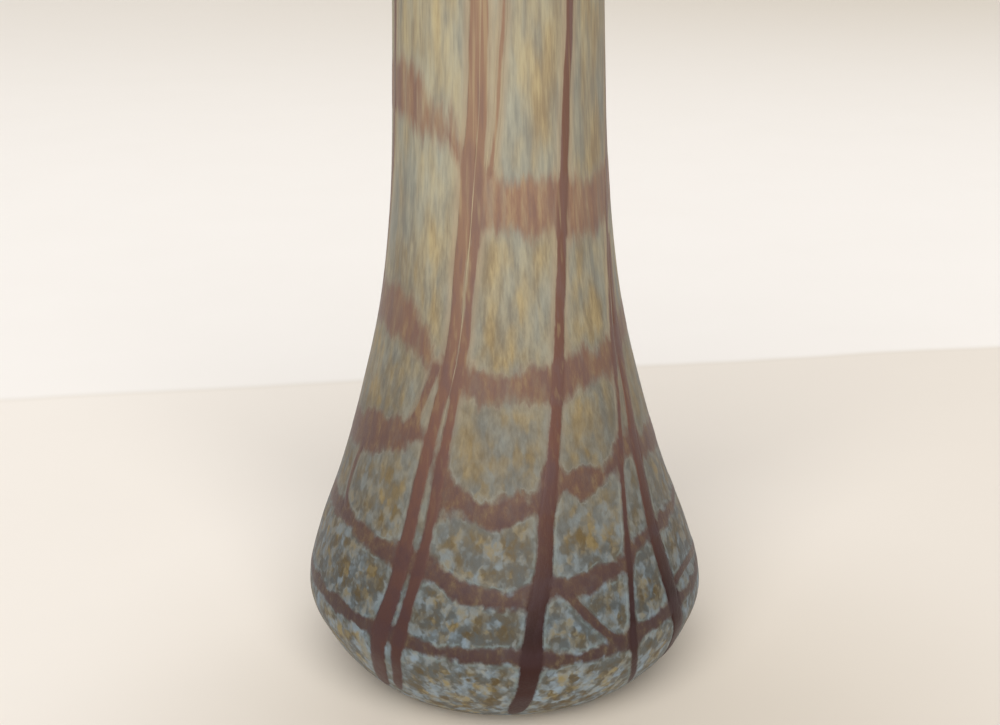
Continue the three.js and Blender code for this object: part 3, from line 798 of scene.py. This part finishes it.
def body_glass():
    """The clear wall, which shows at the lip and at the ground foot ring."""
    g = Graph("clear_wall")
    place = g.place()
    height = g.node("ShaderNodeSeparateXYZ", {0: place}).outputs[2]
    ground = g.step(2.2, 0.6, height)
    seed = g.seeds(place, 0.4)
    swirl = g.noise(place, 0.06, 3.0)
    scratch = g.noise(place, 0.9, 4.0, 0.7)
    colour = g.mix(swirl, paint("9a987e"), paint("b9b593"))
    colour = g.mix(g.times(seed, 0.5), colour, paint("e0dcc4"))
    colour = g.mix(g.times(ground, g.add(0.5, g.times(scratch, 0.4))), colour, paint("cfccbd"))
    roughness = g.add(0.10, g.times(swirl, 0.08), g.times(ground, 0.5))
    relief = g.add(g.times(scratch, ground), g.times(swirl, 0.3))
    return g.finish(colour, roughness, relief, 0.3, 0.3, Coat_Weight=0.5, Coat_Roughness=0.05)


def lining_glass():
    """The glossy straw gather inside, with faint drawn-out cords and a few seeds."""
    g = Graph("pale_lining")
    place = g.place()
    cords = g.noise(g.scaled(place, 1, 1, 0.08), 0.16, 3.0, 0.55)
    cloud = g.noise(place, 0.022, 3.0)
    colour = g.mix(g.step(0.3, 0.7, cords), paint("c6b586"), paint("dccfa5"))
    colour = g.mix(g.times(g.step(0.45, 0.7, cloud), 0.5), colour, paint("b5a984"))
    seed = g.seeds(place, 0.3)
    colour = g.mix(g.times(seed, 0.4), colour, paint("8d8262"))
    roughness = g.add(0.14, g.times(cloud, 0.14))
    return g.finish(colour, roughness, cords, 0.3, 0.4, Coat_Weight=0.4, Coat_Roughness=0.08)


# ---------------------------------------------------------------- the vase

TRAIL_ROUGHNESS = 0.44
SKIN_ROUGHNESS = 0.48
THIN_BAND = 3.5        # half width up to which a band stands as proud as it can; wider ones lie flatter

trail_glass = pattern_glass("trail_glass", TRAIL_ROUGHNESS)
band_glass = pattern_glass("band_glass", SKIN_ROUGHNESS)

skin(pattern_glass("skin_glass", SKIN_ROUGHNESS))
for name, route in ROUTES.items():
    ribbon(name, route, False, TRAIL_PROUD, TRAIL_SUNK, TRAIL_MARGIN, TRAIL_DEPTH, trail_glass)
for name, route in BAND_ROUTES.items():
    thin = min(1.0, THIN_BAND / route[2].mean())
    crown = 0.05 + 0.10 * thin
    sunk = 0.08 + 0.08 * thin
    ribbon(name, route, True, crown, sunk, 2.2 - thin, BAND_DEPTH, band_glass)
glass_body(body_glass())
lining(lining_glass())

# ---------------------------------------------------------------- floor, light and camera

CLOTH_SEAM = (330, 0.125)      # the cloth's far edge: its distance behind the vase, and its slope
PAINTED_SHADOW_SPOT = (30, -60, 0)      # the middle of a painted shadow on the cloth, in front of the vase
WARM_WHITE = (1.0, 0.985, 0.965)


def cloth():
    """Pale cloth, lighter beyond its seam, with painted shade that darkens it to the right and far away, a
    painted shadow line along the seam and a painted shadow in front of the vase.
    """
    g = Graph("pale_cloth")
    place = g.place()
    x, y, _ = g.node("ShaderNodeSeparateXYZ", {0: place}).outputs
    # Painted shade: the cloth darkens towards the right, as if the light came from the left.
    colour = g.mix(g.step(-500, 500, x), paint("f0eae3"), paint("e4dcd2"))
    beyond = g.math("SUBTRACT", g.math("SUBTRACT", y, CLOTH_SEAM[0]), g.times(x, CLOTH_SEAM[1]))
    beyond = g.add(beyond, g.times(g.noise(place, 0.01), 8.0))
    # Painted shade: the cloth beyond the seam darkens further away and towards the right.
    far_wall_falloff = g.mix(g.step(-900, 900, x), paint("ddd7cf"), paint("d0c8bc"))
    distant = g.mix(g.step(500, 2600, y), paint("f2eeea"), far_wall_falloff)
    colour = g.mix(g.step(-4, 4, beyond), colour, distant)
    # Painted shadow: a thin darker line along the seam.
    seam_shadow = g.step(7, 1, g.math("ABSOLUTE", beyond))
    colour = g.mix(g.times(seam_shadow, 0.15), colour, paint("cfc6b8"))
    # Painted shadow: a darker patch of cloth in front of the vase, standing in for the vase's shadow.
    aside = g.node("ShaderNodeVectorMath", {0: place, 1: PAINTED_SHADOW_SPOT}, operation="SUBTRACT").outputs[0]
    aside = g.scaled(aside, 1, 1, 0)
    away = g.node("ShaderNodeVectorMath", {0: aside}, operation="LENGTH").outputs["Value"]
    colour = g.mix(g.times(g.step(240, 30, away), 0.6), colour, paint("c6bbab"))
    colour = g.mix(g.times(g.noise(place, 0.012, 3.0), 0.08), colour, paint("d6cfc2"))
    weave = g.noise(place, 1.2, 3.0, 0.7)
    rumple = g.noise(place, 0.008, 3.0)
    relief = g.add(g.times(weave, 0.02), rumple)
    return g.finish(colour, 0.9, relief, 0.2, 4.0, Specular_IOR_Level=0.1)


def floor_plane(half):
    """One large cloth plane. Half its side is in metres."""
    mesh = bpy.data.meshes.new("studio_floor")
    corners = [(-half, -half, 0), (half, -half, 0), (half, half, 0), (-half, half, 0)]
    mesh.from_pydata(corners, [], [(0, 1, 2, 3)])
    mesh.materials.append(cloth())
    plane = bpy.data.objects.new("studio_floor", mesh)
    bpy.context.scene.collection.objects.link(plane)


def soft_light(name, azimuth, elevation, spread, strength):
    """A large soft light. Azimuth 0 is the front, + is to the right."""
    light = bpy.data.lights.new(name, "SUN")
    light.angle = np.radians(spread)
    light.energy = strength
    light.color = WARM_WHITE
    lamp = bpy.data.objects.new(name, light)
    lamp.rotation_euler = (np.radians(90 - elevation), 0, np.radians(azimuth))
    bpy.context.scene.collection.objects.link(lamp)


HORIZON_GLOW = 0.78
CEILING_GLOW = 0.06
GLOW_FADES = (0.12, 0.32)      # between these heights of a direction, as a sine


def pale_room():
    """A pale glow round the horizon and a dim ceiling."""
    world = bpy.data.worlds.new("studio")
    world.use_nodes = True
    nodes, links = world.node_tree.nodes, world.node_tree.links
    height = nodes.new("ShaderNodeSeparateXYZ")
    links.new(nodes.new("ShaderNodeTexCoord").outputs["Generated"], height.inputs[0])
    glow = nodes.new("ShaderNodeMapRange")
    glow.interpolation_type = "SMOOTHSTEP"
    glow.inputs["From Min"].default_value = GLOW_FADES[0]
    glow.inputs["From Max"].default_value = GLOW_FADES[1]
    glow.inputs["To Min"].default_value = HORIZON_GLOW
    glow.inputs["To Max"].default_value = CEILING_GLOW
    links.new(height.outputs["Z"], glow.inputs["Value"])
    background = nodes["Background"]
    background.inputs["Color"].default_value = (*WARM_WHITE, 1)
    links.new(glow.outputs["Result"], background.inputs["Strength"])
    bpy.context.scene.world = world


EYE = Vector((-0.7, -560.6, 312.1)) * MM
LOOK_DOWN = 19
ROLL = -0.64           # the camera is held a little crooked
LENS = 57.6
SENSOR = 36
FLOOR_HALF = 10        # metres


def camera():
    """Close and a little above, looking down on the belly; the lip is out of view."""
    lens = bpy.data.cameras.new("camera")
    lens.sensor_width = SENSOR
    lens.lens = LENS
    lens.clip_start = 0.01
    lens.clip_end = 50
    camera = bpy.data.objects.new("camera", lens)
    tilt = Matrix.Rotation(np.radians(90 - LOOK_DOWN), 4, "X")
    roll = Matrix.Rotation(np.radians(ROLL), 4, "Z")
    camera.matrix_world = Matrix.Translation(EYE) @ tilt @ roll
    bpy.context.scene.collection.objects.link(camera)
    bpy.context.scene.camera = camera


floor_plane(FLOOR_HALF)
soft_light("key", azimuth=-2, elevation=40, spread=60, strength=3.75)
soft_light("fill", azimuth=176, elevation=45, spread=90, strength=1.0)
pale_room()
camera()
bpy.context.scene.view_settings.view_transform = "Standard"
